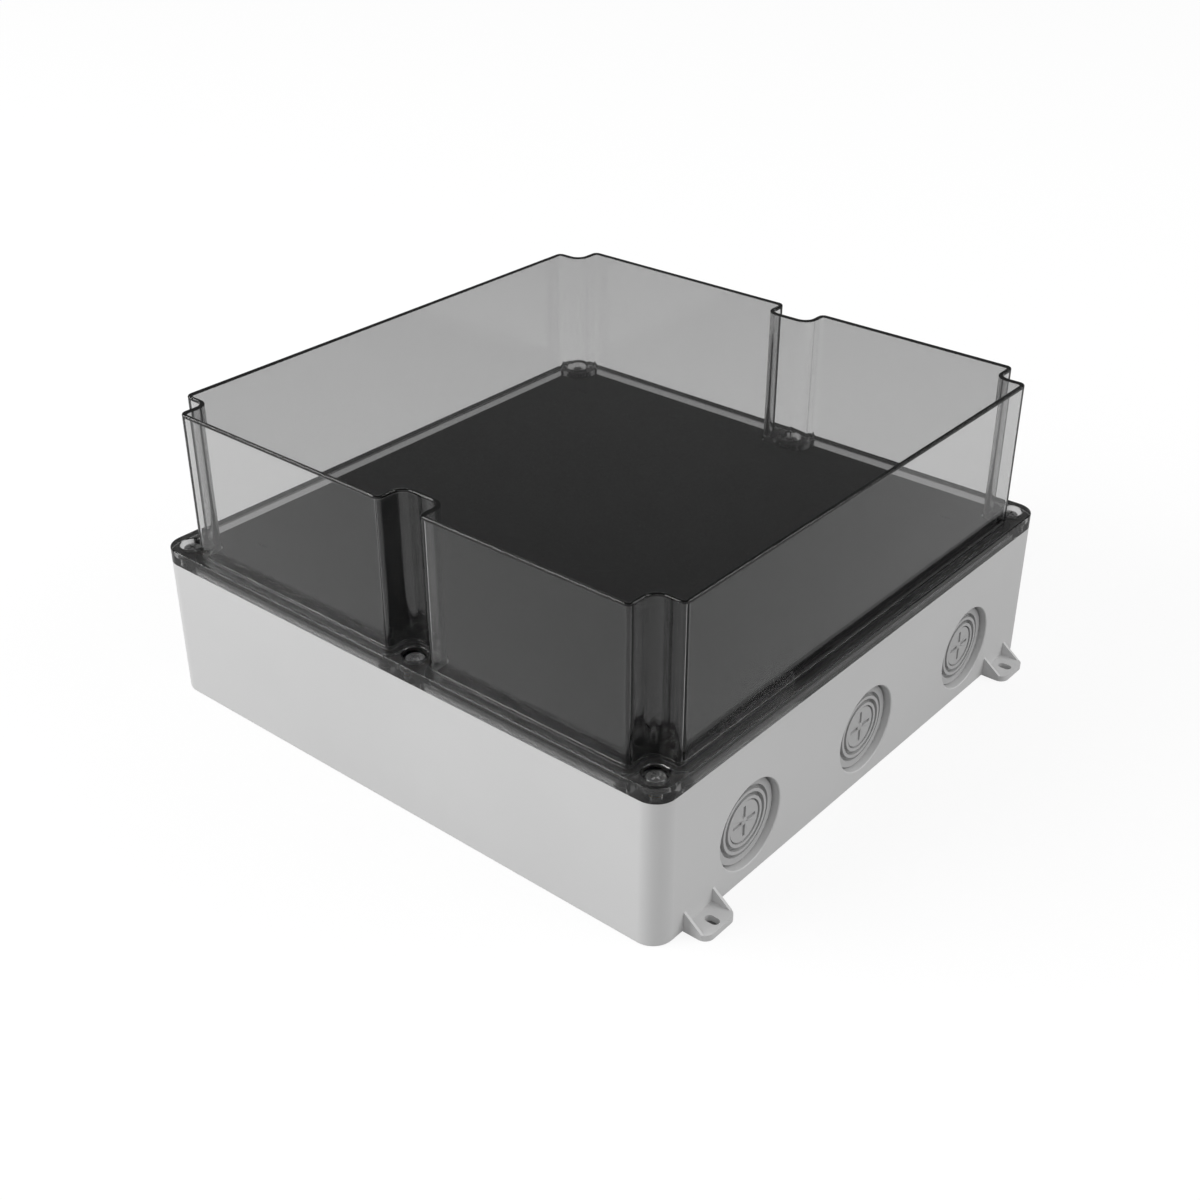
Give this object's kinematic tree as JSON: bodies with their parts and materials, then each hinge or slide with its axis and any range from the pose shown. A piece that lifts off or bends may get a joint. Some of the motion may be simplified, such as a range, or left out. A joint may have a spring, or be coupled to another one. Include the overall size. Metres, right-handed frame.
{
  "type": "junction box",
  "caption": "Square wall-mounting junction box: opaque base with stepped round cable entries and fixing lugs, deep smoked clear cover with screw flutes.",
  "frame": {"origin": "centre of the base's back face, on the wall plane", "axes": "+Z from the wall out through the cover; X across the two walls that hold the cable entries and lugs"},
  "size_m": [0.432, 0.4, 0.2],
  "materials": {
    "case_grey": "light grey moulded thermoplastic, satin",
    "smoked_clear": "smoked clear polycarbonate, polished",
    "gasket_foam": "light grey foamed sealing cord",
    "plate_black": "black powder-coated steel",
    "pillar_zinc": "zinc-plated steel",
    "insert_brass": "knurled brass",
    "screw_steel": "stainless steel",
    "washer_rubber": "black sealing washer"
  },
  "bodies": {
    "base": {"base_shell": "case_grey", "threaded_inserts": "insert_brass", "mounting_plate": "plate_black", "plate_pillars": "pillar_zinc", "plate_screws": "plate_black", "entry_disc_left_front": "case_grey", "entry_disc_left_middle": "case_grey", "entry_disc_left_back": "case_grey", "entry_disc_right_front": "case_grey", "entry_disc_right_middle": "case_grey", "entry_disc_right_back": "case_grey"},
    "cover": {"lid_cover": "smoked_clear", "lid_gasket": "gasket_foam"},
    "washer_front_left": {"screw_washer_front_left": "washer_rubber"},
    "screw_front_left": {"lid_screw_front_left": "screw_steel"},
    "washer_front_middle": {"screw_washer_front_middle": "washer_rubber"},
    "screw_front_middle": {"lid_screw_front_middle": "screw_steel"},
    "washer_front_right": {"screw_washer_front_right": "washer_rubber"},
    "screw_front_right": {"lid_screw_front_right": "screw_steel"},
    "washer_back_left": {"screw_washer_back_left": "washer_rubber"},
    "screw_back_left": {"lid_screw_back_left": "screw_steel"},
    "washer_back_middle": {"screw_washer_back_middle": "washer_rubber"},
    "screw_back_middle": {"lid_screw_back_middle": "screw_steel"},
    "washer_back_right": {"screw_washer_back_right": "washer_rubber"},
    "screw_back_right": {"lid_screw_back_right": "screw_steel"}
  },
  "joints": [
    {"name": "cover_lift", "type": "slide", "parent": "base", "child": "cover", "axis": [0, 0, 1], "range_m": [0, 0.12]},
    {"name": "screw_rise_front_left", "type": "slide", "parent": "cover", "child": "washer_front_left", "axis": [0, 0, 1], "range_m": [0, 0.016]},
    {"name": "screw_turn_front_left", "type": "hinge", "parent": "washer_front_left", "child": "screw_front_left", "pos_m": [-0.1865, -0.1865, 0.099], "axis": [0, 0, 1], "range_deg": [0, 5760]},
    {"name": "screw_rise_front_middle", "type": "slide", "parent": "cover", "child": "washer_front_middle", "axis": [0, 0, 1], "range_m": [0, 0.016]},
    {"name": "screw_turn_front_middle", "type": "hinge", "parent": "washer_front_middle", "child": "screw_front_middle", "pos_m": [0.0135, -0.1865, 0.099], "axis": [0, 0, 1], "range_deg": [0, 5760]},
    {"name": "screw_rise_front_right", "type": "slide", "parent": "cover", "child": "washer_front_right", "axis": [0, 0, 1], "range_m": [0, 0.016]},
    {"name": "screw_turn_front_right", "type": "hinge", "parent": "washer_front_right", "child": "screw_front_right", "pos_m": [0.1865, -0.1865, 0.099], "axis": [0, 0, 1], "range_deg": [0, 5760]},
    {"name": "screw_rise_back_left", "type": "slide", "parent": "cover", "child": "washer_back_left", "axis": [0, 0, 1], "range_m": [0, 0.016]},
    {"name": "screw_turn_back_left", "type": "hinge", "parent": "washer_back_left", "child": "screw_back_left", "pos_m": [-0.1865, 0.1865, 0.099], "axis": [0, 0, 1], "range_deg": [0, 5760]},
    {"name": "screw_rise_back_middle", "type": "slide", "parent": "cover", "child": "washer_back_middle", "axis": [0, 0, 1], "range_m": [0, 0.016]},
    {"name": "screw_turn_back_middle", "type": "hinge", "parent": "washer_back_middle", "child": "screw_back_middle", "pos_m": [0.0135, 0.1865, 0.099], "axis": [0, 0, 1], "range_deg": [0, 5760]},
    {"name": "screw_rise_back_right", "type": "slide", "parent": "cover", "child": "washer_back_right", "axis": [0, 0, 1], "range_m": [0, 0.016]},
    {"name": "screw_turn_back_right", "type": "hinge", "parent": "washer_back_right", "child": "screw_back_right", "pos_m": [0.1865, 0.1865, 0.099], "axis": [0, 0, 1], "range_deg": [0, 5760]}
  ],
  "couplings": [
    {"joint": "screw_turn_front_left", "follows": "screw_rise_front_left", "rad_per_m": 6283.2},
    {"joint": "screw_turn_front_middle", "follows": "screw_rise_front_middle", "rad_per_m": 6283.2},
    {"joint": "screw_turn_front_right", "follows": "screw_rise_front_right", "rad_per_m": 6283.2},
    {"joint": "screw_turn_back_left", "follows": "screw_rise_back_left", "rad_per_m": 6283.2},
    {"joint": "screw_turn_back_middle", "follows": "screw_rise_back_middle", "rad_per_m": 6283.2},
    {"joint": "screw_turn_back_right", "follows": "screw_rise_back_right", "rad_per_m": 6283.2}
  ]
}
